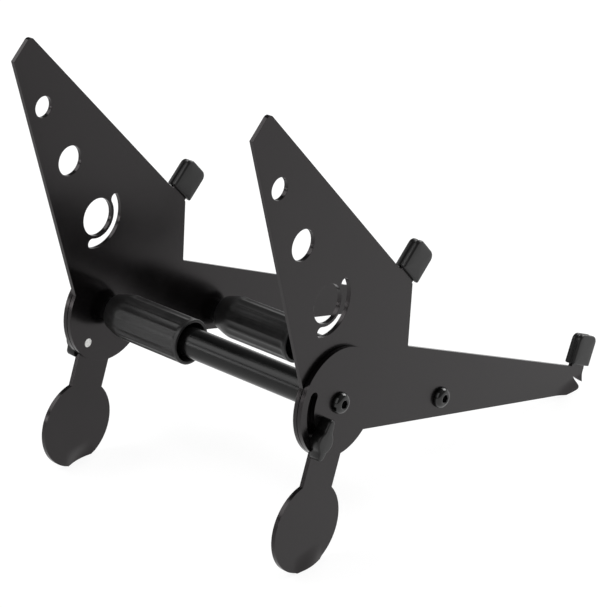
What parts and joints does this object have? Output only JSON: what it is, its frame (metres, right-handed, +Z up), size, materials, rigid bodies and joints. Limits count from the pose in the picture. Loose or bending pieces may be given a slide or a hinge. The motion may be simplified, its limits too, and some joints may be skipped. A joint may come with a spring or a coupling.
{
  "type": "desktop gear stand",
  "caption": "Two-tier desktop stand: black plate sides with rubber-capped stops, telescopic cross bars with twist-lock grips, and swinging clamp-locked legs.",
  "frame": {"origin": "on the ground plane, under the middle of the stand's bounding box", "axes": "+X across the stand from the inner-tube side to the outer-tube side, +Y forward down the arms to the lip caps, +Z up"},
  "size_m": [0.222, 0.3406, 0.3095],
  "materials": {
    "painted_plate": "fine-textured satin black powder coat",
    "painted_tube": "gloss black enamel",
    "grip_plastic": "satin moulded black plastic with flutes",
    "knob_plastic": "smooth moulded black plastic",
    "black_screw": "gloss black oxide",
    "cap_rubber": "soft matte black rubber",
    "zinc_steel": "bright zinc plate",
    "clutch_plastic": "natural dark nylon"
  },
  "bodies": {
    "right_side": {"right_panel": "painted_plate", "right_tab_cap": "cap_rubber", "right_lip_cap": "cap_rubber", "rear_outer_tube": "painted_tube", "front_outer_tube": "painted_tube", "rear_outer_plug": "zinc_steel", "front_outer_plug": "zinc_steel", "right_pivot_screw": "black_screw", "right_bar_screw": "black_screw", "right_pivot_washer": "clutch_plastic", "rear_clutch_collar": "clutch_plastic", "front_clutch_collar": "clutch_plastic", "rear_collet": "clutch_plastic", "front_collet": "clutch_plastic"},
    "left_side": {"left_panel": "painted_plate", "left_tab_cap": "cap_rubber", "left_lip_cap": "cap_rubber", "rear_inner_tube": "painted_tube", "front_inner_tube": "painted_tube", "rear_inner_plug": "zinc_steel", "front_inner_plug": "zinc_steel", "left_pivot_screw": "black_screw", "left_bar_screw": "black_screw", "left_pivot_washer": "clutch_plastic", "rear_glide_bush": "clutch_plastic", "front_glide_bush": "clutch_plastic"},
    "right_leg": {"right_leg": "painted_plate"},
    "left_leg": {"left_leg": "painted_plate"},
    "right_thumbscrew": {"right_thumb_knob": "knob_plastic", "right_thumb_stud": "zinc_steel"},
    "left_thumbscrew": {"left_thumb_knob": "knob_plastic", "left_thumb_stud": "zinc_steel"},
    "rear_grip": {"rear_grip": "grip_plastic"},
    "front_grip": {"front_grip": "grip_plastic"}
  },
  "joints": [
    {"name": "width_slide", "type": "slide", "parent": "right_side", "child": "left_side", "axis": [-1, 0, 0], "range_m": [0, 0.09]},
    {"name": "right_leg_swing", "type": "hinge", "parent": "right_side", "child": "right_leg", "pos_m": [0.102, -0.10539, 0.1026], "axis": [1, 0, 0], "range_deg": [-12, 66]},
    {"name": "left_leg_swing", "type": "hinge", "parent": "left_side", "child": "left_leg", "pos_m": [-0.102, -0.10539, 0.1026], "axis": [1, 0, 0], "range_deg": [-12, 66]},
    {"name": "right_thumbscrew_turn", "type": "hinge", "parent": "right_side", "child": "right_thumbscrew", "pos_m": [0.104, -0.12689, 0.0861], "axis": [1, 0, 0], "range_deg": [0, 270]},
    {"name": "left_thumbscrew_turn", "type": "hinge", "parent": "left_side", "child": "left_thumbscrew", "pos_m": [-0.104, -0.12689, 0.0861], "axis": [-1, 0, 0], "range_deg": [0, 270]},
    {"name": "rear_grip_twist", "type": "hinge", "parent": "right_side", "child": "rear_grip", "pos_m": [-0.056, -0.10539, 0.1026], "axis": [1, 0, 0], "range_deg": [0, 90]},
    {"name": "front_grip_twist", "type": "hinge", "parent": "right_side", "child": "front_grip", "pos_m": [-0.056, -0.00189, 0.0596], "axis": [1, 0, 0], "range_deg": [0, 90]}
  ]
}
